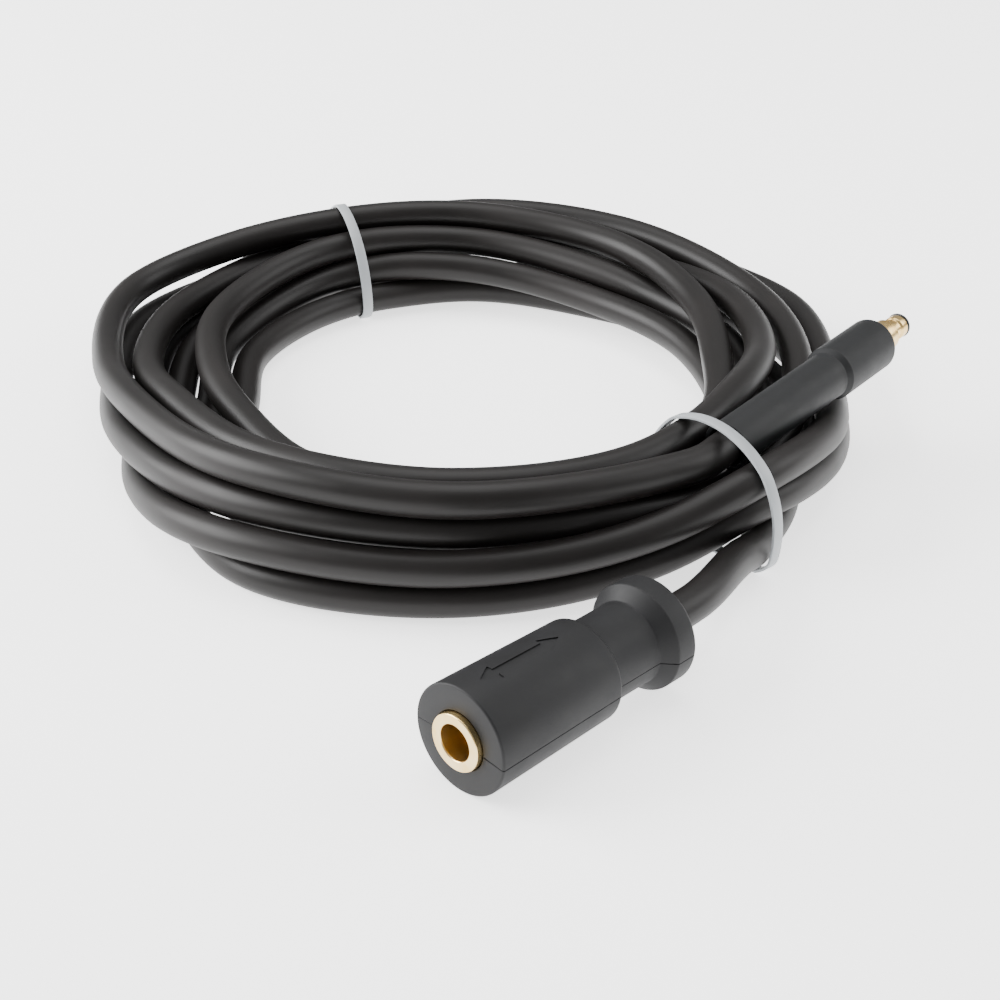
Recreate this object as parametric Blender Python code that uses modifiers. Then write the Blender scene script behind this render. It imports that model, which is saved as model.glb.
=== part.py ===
# Pressure washer hose, coiled and tied, with its bayonet-style coupling and its brass plug.
# Metres, +Z up. The coupling's mouth looks along -Y, and the coil lies on the floor at z = 0.

from math import cos, pi, radians, sin

import bmesh
import bpy
import numpy as np
from mathutils import Matrix, Vector

# The hose
HOSE_DIAMETER = 0.0134
TURN_GAP = 0.0004
HOSE_SIDES_RESOLUTION = 3

# The coil: a ring that the turns' lanes are counted from, outwards and up from the floor
RING_RADIUS = 0.1443
FIRST_STATION = radians(14.3)
STATIONS_PER_TURN = 12
ROUTE_SPACING = 0.0090
SETTLE_ROUNDS = 600
SETTLE_STEP = 0.6
SETTLE_SMOOTHING = 0.08

# The coupling: a rubber cover that slides on a brass socket
COUPLING_X = 0.1865
COUPLING_MOUTH_Y = -0.185
COVER_DIAMETER = 0.0378
COVER_REAR_DIAMETER = 0.0358
COVER_BODY_LENGTH = 0.0552
COVER_EDGE = 0.0016
COVER_SHOULDER = 0.0016
WAIST_DIAMETER = 0.0292
WAIST_LENGTH = 0.0218
FLARE_LENGTH = 0.0045
FLANGE_DIAMETER = 0.0380
FLANGE_LENGTH = 0.0090
COVER_TRAVEL = 0.008
SOCKET_DIAMETER = 0.0196
SOCKET_BORE = 0.0124
SOCKET_BORE_DEPTH = 0.030
SOCKET_LENGTH = 0.046
SOCKET_STANDS_PROUD = 0.0022
SLIDING_CLEARANCE = 0.0003
HOSE_HOLE_CLEARANCE = 0.0006

# The plug end: a bend guard with a thicker collar, a brass plug and its O-ring
GUARD_DIAMETER = 0.0190
GUARD_LENGTH = 0.0750
COLLAR_DIAMETER = 0.0220
COLLAR_LENGTH = 0.0350
COLLAR_TAPER_LENGTH = 0.0035
COLLAR_MOUTH_DIAMETER = 0.0172
GUARD_EDGE = 0.0012
GUARD_START = radians(-2.38)
GUARD_RADIUS_OUT = 0.14634
GUARD_HEIGHT = 0.0406
GUARD_HEADING = radians(95.58)
GUARD_TILT = radians(2.33)
PLUG_DIAMETER = 0.0098
PLUG_SHOULDER_DIAMETER = 0.0130
PLUG_SHOULDER_LENGTH = 0.0096
PLUG_NECK_DIAMETER = 0.0084
PLUG_NECK_LENGTH = 0.0047
PLUG_HEAD_LENGTH = 0.0071
PLUG_BORE = 0.0044
PLUG_STEM_LENGTH = 0.0300
PLUG_LIP = 0.0008
O_RING_THICKNESS = 0.0016
O_RING_SIDES = 8

# The cable ties
TIE_WIDTH = 0.0048
TIE_THICKNESS = 0.0012
TIE_GAP = 0.0003
TIE_SLACK = 0.0006
TIE_HEAD_LENGTH = 0.0072
TIE_HEAD_WIDTH = 0.0078
TIE_HEAD_HEIGHT = 0.0048
TIE_OUTLINE_POINTS = 48
TIE_REACH = 0.055
TIE_LIFT_REACH = radians(28.0)
FRONT_TIE_ANGLE = radians(-4.5)
BACK_TIE_ANGLE = radians(157.3)
FRONT_TIE_HEAD = radians(205.0)
BACK_TIE_HEAD = radians(15.0)

TOUCHING_GAP = 0.0003
ROUND_SIDES = 40
SMALL_ROUND_SIDES = 28

# Each turn's place at its twelve stations, clockwise seen from above, as (out, up) in hose diameters:
# out from the ring, and up from the floor to the hose's middle
LANES = (
    ((-0.15, 3.05), (0.30, 2.95), (0.75, 3.00), (0.42, 2.95), (-0.40, 2.20), (0.44, 1.80),
     (2.25, 2.00), (0.97, 2.78), (0.50, 2.90), (-0.40, 2.65), (-1.80, 2.35), (-2.65, 2.30)),
    ((-2.00, 2.25), (-1.45, 2.20), (-1.30, 2.20), (-2.35, 2.00), (-3.30, 1.95), (-2.90, 1.85),
     (-1.30, 1.80), (-0.15, 2.10), (-0.20, 2.15), (-1.30, 1.95), (-1.25, 1.40), (-1.45, 1.35)),
    ((-0.75, 1.05), (-0.62, 1.28), (0.10, 1.35), (-0.25, 1.35), (-1.20, 1.40), (-1.75, 0.50),
     (-0.40, 0.50), (0.50, 1.35), (0.85, 2.00), (0.35, 1.90), (-0.50, 2.30), (-1.34, 2.60)),
    ((-1.56, 3.00), (-0.75, 2.95), (-0.28, 3.08), (-0.80, 2.85), (-1.55, 2.20), (-0.80, 1.70),
     (0.60, 1.60), (1.55, 2.00), (1.50, 2.80), (1.10, 2.75), (0.65, 2.20), (-0.15, 2.15)),
    ((-0.22, 1.88), (-0.08, 2.00), (0.42, 2.15), (0.45, 2.10), (-0.30, 1.40), (0.02, 0.90),
     (1.95, 0.90), (2.20, 1.10), (1.75, 1.80), (2.00, 1.70), (2.10, 1.50), (0.74, 1.58)),
    ((1.10, 2.24), (1.12, 1.72), (1.25, 1.32), (1.05, 1.28), (-0.10, 0.55), (-0.80, 0.50),
     (0.60, 0.50), (0.95, 0.50), (0.65, 0.55), (1.10, 0.60), (1.35, 0.60), (0.94, 0.50)),
    ((1.30, 1.22), (1.25, 0.80), (1.27, 0.50), (1.15, 0.50), (-0.90, 0.50), (-2.60, 0.55),
     (-1.35, 0.60), (-0.43, 1.05), (-1.05, 1.30), (-1.85, 1.15), (-2.30, 1.10), (-2.30, 0.80)),
    ((-1.45, 0.60), (-0.85, 0.50), (-0.15, 0.50), (-1.00, 0.50), (-2.60, 0.50), (-3.45, 0.50),
     (-2.30, 0.50), (-1.10, 0.50), (-0.40, 0.50), (-0.90, 0.50), (-0.45, 0.50), (0.00, 0.50)),
)
# Where the front tie draws them together: this far past the first station of every turn but the first
TIE_STATION = 0.5
TIE_LANES = ((-1.62, 2.10), (-0.55, 0.98), (-1.16, 3.02), (0.05, 1.82), (1.40, 2.42), (1.58, 1.42), (-1.48, 0.62))
# The way from the last turn to the coupling: stations after the last turn, out and up
TAIL_LANES = ((0.0, 0.30, 0.50), (0.30, 0.85, 0.50), (0.57, 1.35, 0.52), (0.80, 2.08, 0.95))

HOSE_RADIUS = HOSE_DIAMETER / 2
STATION_STEP = 2 * pi / STATIONS_PER_TURN
COVER_LENGTH = COVER_BODY_LENGTH + WAIST_LENGTH + FLARE_LENGTH + FLANGE_LENGTH
COUPLING_Z = FLANGE_DIAMETER / 2
COLLAR_END = GUARD_LENGTH + COLLAR_LENGTH + COLLAR_TAPER_LENGTH
HOSE_START = COLLAR_END - PLUG_STEM_LENGTH
TIE_ROOM = TIE_THICKNESS + TIE_GAP + TIE_SLACK


def remove_everything():
    for thing in list(bpy.data.objects):
        bpy.data.objects.remove(thing, do_unlink=True)


def new_collection(name):
    collection = bpy.data.collections.new(name)
    bpy.context.scene.collection.children.link(collection)
    return collection


def new_material(name, colour, roughness, metallic=0.0):
    material = bpy.data.materials.new(name)
    material.use_nodes = True
    shader = material.node_tree.nodes["Principled BSDF"]
    shader.inputs["Base Color"].default_value = (*colour, 1.0)
    shader.inputs["Roughness"].default_value = roughness
    shader.inputs["Metallic"].default_value = metallic
    return material


# The hose's route

def lane_point(angle, out, up):
    radius = RING_RADIUS + out * HOSE_DIAMETER
    return np.array([radius * cos(angle), radius * sin(angle), up * HOSE_DIAMETER])


def guard_axis():
    """The bend guard's end on the coil, and its heading towards the plug."""
    across = GUARD_RADIUS_OUT
    start = np.array([across * cos(GUARD_START), across * sin(GUARD_START), GUARD_HEIGHT])
    level = cos(GUARD_TILT)
    return start, np.array([cos(GUARD_HEADING) * level, sin(GUARD_HEADING) * level, sin(GUARD_TILT)])


def straight_run(first, last):
    """Points from first to last, no further apart than the route's spacing."""
    steps = int(np.ceil(np.linalg.norm(last - first) / ROUTE_SPACING))
    return [first + (last - first) * index / steps for index in range(steps + 1)]


def control_points():
    """The straight run in the guard, the coil's stations, and the run into the coupling."""
    start, heading = guard_axis()
    lead = straight_run(start + heading * HOSE_START, start - heading * HOSE_DIAMETER)
    places = [(turn * STATIONS_PER_TURN + station, *lane)
              for turn, lanes in enumerate(LANES) for station, lane in enumerate(lanes)]
    places += [((turn + 1) * STATIONS_PER_TURN + TIE_STATION, *lane) for turn, lane in enumerate(TIE_LANES)]
    places += [(len(LANES) * STATIONS_PER_TURN + station, out, up) for station, out, up in TAIL_LANES]
    coil = [lane_point(FIRST_STATION - station * STATION_STEP, out, up) for station, out, up in sorted(places)[1:]]
    rear = COUPLING_MOUTH_Y + COVER_LENGTH + COVER_TRAVEL + HOSE_RADIUS
    hose_end = COUPLING_MOUTH_Y + SOCKET_LENGTH + TOUCHING_GAP
    run = straight_run(np.array([COUPLING_X, rear, COUPLING_Z]), np.array([COUPLING_X, hose_end, COUPLING_Z]))
    return np.array(lead), np.array(coil), np.array(run)


def smooth_through(control):
    """A smooth curve through the control points, with a point every ROUTE_SPACING or so."""
    chord = np.linalg.norm(np.diff(control, axis=0), axis=1)
    slope = np.diff(control, axis=0) / chord[:, None]
    weight = (chord[:-1] / (chord[:-1] + chord[1:]))[:, None]
    inner = slope[:-1] * (1 - weight) + slope[1:] * weight
    tangent = np.concatenate([slope[:1], inner, slope[-1:]])
    points = [control[0]]
    for index, length in enumerate(chord):
        steps = max(1, round(length / ROUTE_SPACING))
        for step in range(1, steps + 1):
            t = step / steps
            points.append((2 * t ** 3 - 3 * t ** 2 + 1) * control[index]
                          + (t ** 3 - 2 * t ** 2 + t) * length * tangent[index]
                          + (3 * t ** 2 - 2 * t ** 3) * control[index + 1]
                          + (t ** 3 - t ** 2) * length * tangent[index + 1])
    return np.array(points)


def floor_under(points):
    """How high the hose's middle line has to be: the ties under the bundle lift it a little."""
    angles = np.arctan2(points[:, 1], points[:, 0])
    lift = np.zeros(len(points))
    for tie in (FRONT_TIE_ANGLE, BACK_TIE_ANGLE):
        away = np.abs((angles - tie + pi) % (2 * pi) - pi)
        near = np.clip(1 - away / TIE_LIFT_REACH, 0, 1)
        lift = np.maximum(lift, near * near * (3 - 2 * near))
    return HOSE_RADIUS + lift * TIE_ROOM


def settle(points, reach, held):
    """Pushes apart what lies closer than the hose is thick, and keeps it above the floor."""
    start = points.copy()
    spacing = np.linalg.norm(np.diff(points, axis=0), axis=1).max()
    distance = np.linalg.norm(points[:, None] - points[None], axis=2)
    close = np.triu(distance < 3 * HOSE_DIAMETER + spacing, k=round(8 * HOSE_DIAMETER / spacing))
    first, second = np.nonzero(close)
    free = 1.0 - held
    share = np.maximum(free[first] + free[second], 1.0)
    for _ in range(SETTLE_ROUNDS):
        tangent = np.gradient(points, axis=0)
        tangent /= np.linalg.norm(tangent, axis=1)[:, None]
        along = tangent[first] + tangent[second]
        along /= np.linalg.norm(along, axis=1)[:, None]
        apart = points[first] - points[second]
        offset = (apart * along).sum(axis=1)
        apart -= offset[:, None] * along
        size = np.maximum(np.linalg.norm(apart, axis=1), 1e-9)
        lack = np.clip(reach[first] + reach[second] + TURN_GAP - size, 0, None)
        lack[np.abs(offset) > 0.6 * spacing] = 0
        step = apart / size[:, None] * lack[:, None] * SETTLE_STEP
        push = np.zeros_like(points)
        np.add.at(push, first, step * (free[first] / share)[:, None])
        np.add.at(push, second, -step * (free[second] / share)[:, None])
        shift = points + push - start
        shift[1:-1] += (shift[:-2] + shift[2:] - 2 * shift[1:-1]) * SETTLE_SMOOTHING
        points = start + shift * free[:, None]
        raised = np.maximum(points[:, 2], floor_under(points))
        points[:, 2] = np.where(held > 0, points[:, 2], raised)
    return points


def hose_route():
    """Every point of the hose's middle line, from the plug to the coupling."""
    lead, coil, run = control_points()
    points = smooth_through(np.concatenate([lead, coil, run]))
    held = np.zeros(len(points))
    held[:len(lead)] = 1
    held[-len(run):] = 1
    start, heading = guard_axis()
    along = (lead - start) @ heading
    reach = np.full(len(points), HOSE_RADIUS)
    in_collar = along > GUARD_LENGTH - 2 * ROUTE_SPACING
    reach[:len(lead)] = np.where(in_collar, COLLAR_DIAMETER / 2, GUARD_DIAMETER / 2)
    return settle(points, reach, held)


def make_hose(collection, material, route):
    """The hose itself, swept along every other point of its route."""
    points = np.concatenate([route[:-1:2], route[-1:]])
    curve = bpy.data.curves.new("hose", "CURVE")
    curve.dimensions = "3D"
    spline = curve.splines.new("POLY")
    spline.points.add(len(points) - 1)
    for slot, point in zip(spline.points, points):
        slot.co = (*point, 1.0)
    curve.bevel_depth = HOSE_RADIUS
    curve.bevel_resolution = HOSE_SIDES_RESOLUTION
    curve.use_fill_caps = True
    curve.materials.append(material)
    hose = bpy.data.objects.new("hose", curve)
    collection.objects.link(hose)
    return hose


# Turned pieces: a closed profile of (radius, height) pairs, down its outer side

def turned(name, collection, material, profile, sides, start, heading):
    """Turns the profile round an axis through start, heading being its way up."""
    mesh = bpy.data.meshes.new(name)
    edges = [(index, (index + 1) % len(profile)) for index in range(len(profile))]
    mesh.from_pydata([(radius, 0.0, height) for radius, height in profile], edges, [])
    piece = bpy.data.objects.new(name, mesh)
    collection.objects.link(piece)
    mesh.materials.append(material)
    screw = piece.modifiers.new("Turn", "SCREW")
    screw.steps = sides
    screw.render_steps = sides
    screw.use_merge_vertices = True
    screw.merge_threshold = 0.00001
    screw.use_smooth_shade = True
    piece.location = start
    piece.rotation_euler = Vector(heading).to_track_quat("Z", "Y").to_euler()
    return piece


def arc(middle, radius, first, last, steps):
    """Points of an arc in the profile's plane, by angle from the +radius direction."""
    turn = [first + (last - first) * index / steps for index in range(steps + 1)]
    return [(middle[0] + radius * cos(angle), middle[1] + radius * sin(angle)) for angle in turn]


def make_cover(collection, material):
    """The rubber cover: body, waist and flange, open from end to end. Its top is the rear."""
    body = COVER_DIAMETER / 2
    rear = COVER_REAR_DIAMETER / 2
    waist = WAIST_DIAMETER / 2
    flange = FLANGE_DIAMETER / 2
    hole = HOSE_RADIUS + HOSE_HOLE_CLEARANCE
    bore = SOCKET_DIAMETER / 2 + SLIDING_CLEARANCE
    step = SOCKET_LENGTH + TOUCHING_GAP
    waist_end = COVER_BODY_LENGTH + WAIST_LENGTH
    flange_start = waist_end + FLARE_LENGTH
    edge = COVER_EDGE
    shoulder = COVER_SHOULDER
    profile = [(hole, COVER_LENGTH)]
    profile += arc((flange - edge, COVER_LENGTH - edge), edge, pi / 2, 0, 3)
    profile += arc((flange - edge, flange_start + edge), edge, 0, -pi / 3, 2)
    profile += [(waist + edge, waist_end + edge / 2), (waist, waist_end - edge), (waist, COVER_BODY_LENGTH)]
    profile += arc((rear - shoulder, COVER_BODY_LENGTH - shoulder), shoulder, pi / 2, 0, 4)
    profile += arc((body - edge, edge), edge, 0, -pi / 2, 3)
    profile += [(bore, 0.0), (bore, step), (hole, step)]
    start = (COUPLING_X, COUPLING_MOUTH_Y, COUPLING_Z)
    return turned("coupling_cover", collection, material, profile, ROUND_SIDES, start, (0, 1, 0))


def make_socket(collection, material):
    """The brass socket that the plug goes into, blind at the bottom of its bore."""
    outer = SOCKET_DIAMETER / 2
    bore = SOCKET_BORE / 2
    front = -SOCKET_STANDS_PROUD
    lip = PLUG_LIP / 2
    profile = [(0.0, SOCKET_LENGTH), (outer, SOCKET_LENGTH), (outer, front + lip), (outer - lip, front)]
    profile += [(bore + lip, front), (bore, front + lip), (bore, SOCKET_BORE_DEPTH), (0.0, SOCKET_BORE_DEPTH)]
    start = (COUPLING_X, COUPLING_MOUTH_Y, COUPLING_Z)
    return turned("brass_socket", collection, material, profile, ROUND_SIDES, start, (0, 1, 0))


def make_guard(collection, material):
    """The bend guard: a long sleeve with a thicker collar that tapers to the plug."""
    hole = HOSE_RADIUS + TOUCHING_GAP
    tube = GUARD_DIAMETER / 2
    collar = COLLAR_DIAMETER / 2
    mouth = COLLAR_MOUTH_DIAMETER / 2
    stem = PLUG_NECK_DIAMETER / 2 + TOUCHING_GAP
    collar_start = GUARD_LENGTH
    taper_start = collar_start + COLLAR_LENGTH
    edge = GUARD_EDGE
    profile = [(stem, COLLAR_END), (mouth, COLLAR_END), (collar - edge, taper_start + edge), (collar, taper_start)]
    profile += [(collar, collar_start + edge), (tube, collar_start - edge)]
    profile += arc((tube - edge, edge), edge, 0, -pi / 2, 3)
    profile += [(hole, 0.0), (hole, HOSE_START + TOUCHING_GAP), (stem, HOSE_START + TOUCHING_GAP)]
    start, heading = guard_axis()
    return turned("bend_guard", collection, material, profile, ROUND_SIDES, start, heading)


def plug_tip():
    """How far the plug's tip is from the bend guard's free end."""
    return COLLAR_END + TOUCHING_GAP + PLUG_SHOULDER_LENGTH + PLUG_NECK_LENGTH + PLUG_HEAD_LENGTH


def o_ring_place():
    """The O-ring's middle radius, just proud of the plug's head, and its distance along the axis."""
    radius = PLUG_DIAMETER / 2 + TOUCHING_GAP - O_RING_THICKNESS / 2
    return radius, plug_tip() - PLUG_LIP - TOUCHING_GAP - O_RING_THICKNESS / 2


def make_plug(collection, material):
    """The brass plug: a stem in the collar, a shoulder, a neck and a head with the O-ring's groove."""
    stem = PLUG_NECK_DIAMETER / 2
    shoulder = PLUG_SHOULDER_DIAMETER / 2
    head = PLUG_DIAMETER / 2
    bore = PLUG_BORE / 2
    lip = PLUG_LIP
    shoulder_start = COLLAR_END + TOUCHING_GAP
    neck_start = shoulder_start + PLUG_SHOULDER_LENGTH
    head_start = neck_start + PLUG_NECK_LENGTH
    tip = plug_tip()
    ring_radius, ring_at = o_ring_place()
    groove_floor = ring_radius - O_RING_THICKNESS / 2 - TOUCHING_GAP
    groove_end = tip - lip
    groove_start = ring_at - O_RING_THICKNESS / 2 - TOUCHING_GAP
    profile = [(bore, tip), (groove_floor + lip, tip), (groove_floor + lip, groove_end), (groove_floor, groove_end)]
    profile += [(groove_floor, groove_start), (head, groove_start), (head, head_start + lip), (stem, head_start)]
    profile += [(stem, neck_start), (head, neck_start), (shoulder, neck_start - lip), (shoulder, shoulder_start)]
    profile += [(stem, shoulder_start), (stem, HOSE_START + 2 * TOUCHING_GAP), (bore, HOSE_START + 2 * TOUCHING_GAP)]
    start, heading = guard_axis()
    return turned("brass_plug", collection, material, profile, SMALL_ROUND_SIDES, start, heading)


def make_o_ring(collection, material):
    """The O-ring, in the groove at the plug's tip."""
    radius, along = o_ring_place()
    start, heading = guard_axis()
    bpy.ops.mesh.primitive_torus_add(
        major_radius=radius, minor_radius=O_RING_THICKNESS / 2,
        major_segments=SMALL_ROUND_SIDES, minor_segments=O_RING_SIDES,
        location=Vector(start + heading * along), rotation=Vector(heading).to_track_quat("Z", "Y").to_euler())
    ring = bpy.context.object
    ring.name = "o_ring"
    ring.data.materials.append(material)
    ring.data.shade_smooth()
    for holder in list(ring.users_collection):
        holder.objects.unlink(ring)
    collection.objects.link(ring)
    return ring


# The cable ties: flat straps drawn tight round what crosses the coil there

def strands_at(route, angle, reach):
    """Where the route crosses the upright plane through the coil's axis at this angle, moved sideways
    by half a tie each way: (out, up, radius) in metres, the radius being wider where it crosses askew."""
    outward = np.array([cos(angle), sin(angle), 0.0])
    sideways = np.array([-sin(angle), cos(angle), 0.0])
    found = []
    for shift in (-TIE_WIDTH / 2, 0.0, TIE_WIDTH / 2):
        side = route @ sideways - shift
        for index in np.nonzero(side[:-1] * side[1:] < 0)[0]:
            part = side[index] / (side[index] - side[index + 1])
            point = route[index] + (route[index + 1] - route[index]) * part
            along = route[index + 1] - route[index]
            square = abs(along @ sideways) / np.linalg.norm(along)
            out = point @ outward
            if RING_RADIUS - reach < out < RING_RADIUS + reach:
                found.append((out, point[2], HOSE_RADIUS / square))
    return found


def strap_outline(strands, distance):
    """The line drawn tight round all strands, this far outside them."""
    outline = []
    for index in range(TIE_OUTLINE_POINTS):
        turn = 2 * pi * index / TIE_OUTLINE_POINTS
        out, up, radius = max(strands, key=lambda one: one[0] * cos(turn) + one[1] * sin(turn) + one[2])
        outline.append((out + (radius + distance) * cos(turn), up + (radius + distance) * sin(turn)))
    return outline


def make_tie(name, collection, cutters, material, route, angle, head_turn):
    """A cable tie round the bundle at this angle, its head facing head_turn in the bundle's section."""
    strands = strands_at(route, angle, TIE_REACH)
    curve = bpy.data.curves.new(name, "CURVE")
    curve.dimensions = "2D"
    curve.fill_mode = "BOTH"
    curve.extrude = TIE_WIDTH / 2
    for distance in (TIE_GAP, TIE_GAP + TIE_THICKNESS):
        outline = strap_outline(strands, distance)
        spline = curve.splines.new("POLY")
        spline.points.add(len(outline) - 1)
        for slot, (out, up) in zip(spline.points, outline):
            slot.co = (out, up, 0.0, 1.0)
        spline.use_cyclic_u = True
    flat = bpy.data.objects.new(name + "_outline", curve)
    collection.objects.link(flat)
    mesh = bpy.data.meshes.new_from_object(flat.evaluated_get(bpy.context.evaluated_depsgraph_get()))
    bpy.data.objects.remove(flat, do_unlink=True)
    work = bmesh.new()
    work.from_mesh(mesh)
    bmesh.ops.remove_doubles(work, verts=work.verts, dist=0.00001)
    work.to_mesh(mesh)
    work.free()
    mesh.materials.clear()
    mesh.materials.append(material)
    strap = bpy.data.objects.new(name, mesh)
    collection.objects.link(strap)
    section = Matrix(((cos(angle), 0.0, sin(angle)), (sin(angle), 0.0, -cos(angle)), (0.0, 1.0, 0.0)))
    strap.matrix_world = section.to_4x4()

    out, up, radius = max(strands, key=lambda one: one[0] * cos(head_turn) + one[1] * sin(head_turn) + one[2])
    depth = radius + TIE_GAP + TIE_THICKNESS / 2 + TIE_HEAD_HEIGHT / 2
    bpy.ops.mesh.primitive_cube_add(size=1)
    head = bpy.context.object
    head.name = name + "_head"
    head.data.transform(Matrix.Diagonal((TIE_HEAD_HEIGHT, TIE_HEAD_LENGTH, TIE_HEAD_WIDTH, 1.0)))
    middle = Vector((out + depth * cos(head_turn), up + depth * sin(head_turn), 0.0))
    head.matrix_world = section.to_4x4() @ Matrix.Translation(middle) @ Matrix.Rotation(head_turn, 4, "Z")
    head.hide_render = True
    head.display_type = "WIRE"
    for holder in list(head.users_collection):
        holder.objects.unlink(head)
    cutters.objects.link(head)
    union = strap.modifiers.new("Head", "BOOLEAN")
    union.operation = "UNION"
    union.solver = "EXACT"
    union.object = head
    return strap


def move_origin():
    """Moves everything so that the origin is under the middle of the whole hose, on the floor."""
    bpy.context.view_layer.update()
    graph = bpy.context.evaluated_depsgraph_get()
    low = Vector((1.0, 1.0, 1.0))
    high = -low
    pieces = [thing for thing in bpy.data.objects if not thing.hide_render]
    for piece in pieces:
        evaluated = piece.evaluated_get(graph)
        mesh = evaluated.to_mesh()
        for vertex in mesh.vertices:
            place = evaluated.matrix_world @ vertex.co
            low = Vector(map(min, low, place))
            high = Vector(map(max, high, place))
        evaluated.to_mesh_clear()
    shift = Vector((-(low.x + high.x) / 2, -(low.y + high.y) / 2, -low.z))
    for thing in bpy.data.objects:
        thing.matrix_world = Matrix.Translation(shift) @ thing.matrix_world
    print("origin moved by", tuple(round(value, 6) for value in shift))


def main():
    remove_everything()
    collection = new_collection("pressure_washer_hose")
    cutters = new_collection("cutters")
    rubber = new_material("black rubber", (0.012, 0.011, 0.011), 0.42)
    moulded = new_material("black moulded rubber", (0.022, 0.022, 0.024), 0.62)
    brass = new_material("brass", (0.72, 0.50, 0.22), 0.24, 1.0)
    nitrile = new_material("black nitrile", (0.01, 0.01, 0.01), 0.45)
    nylon = new_material("natural nylon", (0.72, 0.74, 0.75), 0.35)
    route = hose_route()
    make_hose(collection, rubber, route)
    make_cover(collection, moulded)
    make_socket(collection, brass)
    make_guard(collection, moulded)
    make_plug(collection, brass)
    make_o_ring(collection, nitrile)
    make_tie("front_cable_tie", collection, cutters, nylon, route, FRONT_TIE_ANGLE, FRONT_TIE_HEAD)
    make_tie("back_cable_tie", collection, cutters, nylon, route, BACK_TIE_ANGLE, BACK_TIE_HEAD)
    move_origin()


main()
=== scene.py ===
from math import acos, atan2, cos, pi, radians, sin, sqrt, tan

import bmesh
import bpy
import numpy as np
from mathutils import Matrix, Vector


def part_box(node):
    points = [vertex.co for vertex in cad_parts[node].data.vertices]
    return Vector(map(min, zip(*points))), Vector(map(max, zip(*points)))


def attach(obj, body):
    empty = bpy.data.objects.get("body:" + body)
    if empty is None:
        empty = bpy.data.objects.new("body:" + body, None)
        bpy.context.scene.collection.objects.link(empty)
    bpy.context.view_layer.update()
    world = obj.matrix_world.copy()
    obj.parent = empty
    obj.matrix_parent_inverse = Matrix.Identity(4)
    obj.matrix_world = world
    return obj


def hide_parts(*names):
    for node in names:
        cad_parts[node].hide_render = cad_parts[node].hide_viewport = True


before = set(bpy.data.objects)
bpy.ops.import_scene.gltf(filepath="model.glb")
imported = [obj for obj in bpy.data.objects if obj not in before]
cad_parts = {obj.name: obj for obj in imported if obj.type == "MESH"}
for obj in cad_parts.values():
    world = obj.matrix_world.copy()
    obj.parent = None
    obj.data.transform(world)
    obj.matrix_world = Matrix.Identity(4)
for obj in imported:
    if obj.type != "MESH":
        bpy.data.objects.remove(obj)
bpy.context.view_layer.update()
coverLow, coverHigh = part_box("coupling_cover")
print("frame loaded:", len(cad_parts), "nodes")

hoseBody = "hose_and_fittings"
coverBody = "sliding_cover"

# The hose's shape, as the solids have it: sizes in metres. A lane says how far out from the ring and
# how far up from the floor the hose's middle is at a station, both in hose diameters.
hose = {
    "diameter": 0.0134,
    "turnGap": 0.0004,
    "ringRadius": 0.1443,
    "firstStation": radians(14.3),
    "stationsPerTurn": 12,
    "routeSpacing": 0.009,
    "settleRounds": 600,
    "settleStep": 0.6,
    "settleSmoothing": 0.08,
    "nearReach": 3,
    "ownReach": 8,
    "besideShare": 0.6,
    "sides": 28,
    "pointsPerStep": 2,
    "lanes": (
        ((-0.15, 3.05), (0.30, 2.95), (0.75, 3.00), (0.42, 2.95), (-0.40, 2.20), (0.44, 1.80),
         (2.25, 2.00), (0.97, 2.78), (0.50, 2.90), (-0.40, 2.65), (-1.80, 2.35), (-2.65, 2.30)),
        ((-2.00, 2.25), (-1.45, 2.20), (-1.30, 2.20), (-2.35, 2.00), (-3.30, 1.95), (-2.90, 1.85),
         (-1.30, 1.80), (-0.15, 2.10), (-0.20, 2.15), (-1.30, 1.95), (-1.25, 1.40), (-1.45, 1.35)),
        ((-0.75, 1.05), (-0.62, 1.28), (0.10, 1.35), (-0.25, 1.35), (-1.20, 1.40), (-1.75, 0.50),
         (-0.40, 0.50), (0.50, 1.35), (0.85, 2.00), (0.35, 1.90), (-0.50, 2.30), (-1.34, 2.60)),
        ((-1.56, 3.00), (-0.75, 2.95), (-0.28, 3.08), (-0.80, 2.85), (-1.55, 2.20), (-0.80, 1.70),
         (0.60, 1.60), (1.55, 2.00), (1.50, 2.80), (1.10, 2.75), (0.65, 2.20), (-0.15, 2.15)),
        ((-0.22, 1.88), (-0.08, 2.00), (0.42, 2.15), (0.45, 2.10), (-0.30, 1.40), (0.02, 0.90),
         (1.95, 0.90), (2.20, 1.10), (1.75, 1.80), (2.00, 1.70), (2.10, 1.50), (0.74, 1.58)),
        ((1.10, 2.24), (1.12, 1.72), (1.25, 1.32), (1.05, 1.28), (-0.10, 0.55), (-0.80, 0.50),
         (0.60, 0.50), (0.95, 0.50), (0.65, 0.55), (1.10, 0.60), (1.35, 0.60), (0.94, 0.50)),
        ((1.30, 1.22), (1.25, 0.80), (1.27, 0.50), (1.15, 0.50), (-0.90, 0.50), (-2.60, 0.55),
         (-1.35, 0.60), (-0.43, 1.05), (-1.05, 1.30), (-1.85, 1.15), (-2.30, 1.10), (-2.30, 0.80)),
        ((-1.45, 0.60), (-0.85, 0.50), (-0.15, 0.50), (-1.00, 0.50), (-2.60, 0.50), (-3.45, 0.50),
         (-2.30, 0.50), (-1.10, 0.50), (-0.40, 0.50), (-0.90, 0.50), (-0.45, 0.50), (0.00, 0.50)),
    ),
    "tieStation": 0.5,
    "tieLanes": ((-1.62, 2.10), (-0.55, 0.98), (-1.16, 3.02), (0.05, 1.82), (1.40, 2.42), (1.58, 1.42),
                 (-1.48, 0.62)),
    "tailLanes": ((0.0, 0.30, 0.50), (0.30, 0.85, 0.50), (0.57, 1.35, 0.52), (0.80, 2.08, 0.95)),
}

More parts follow.
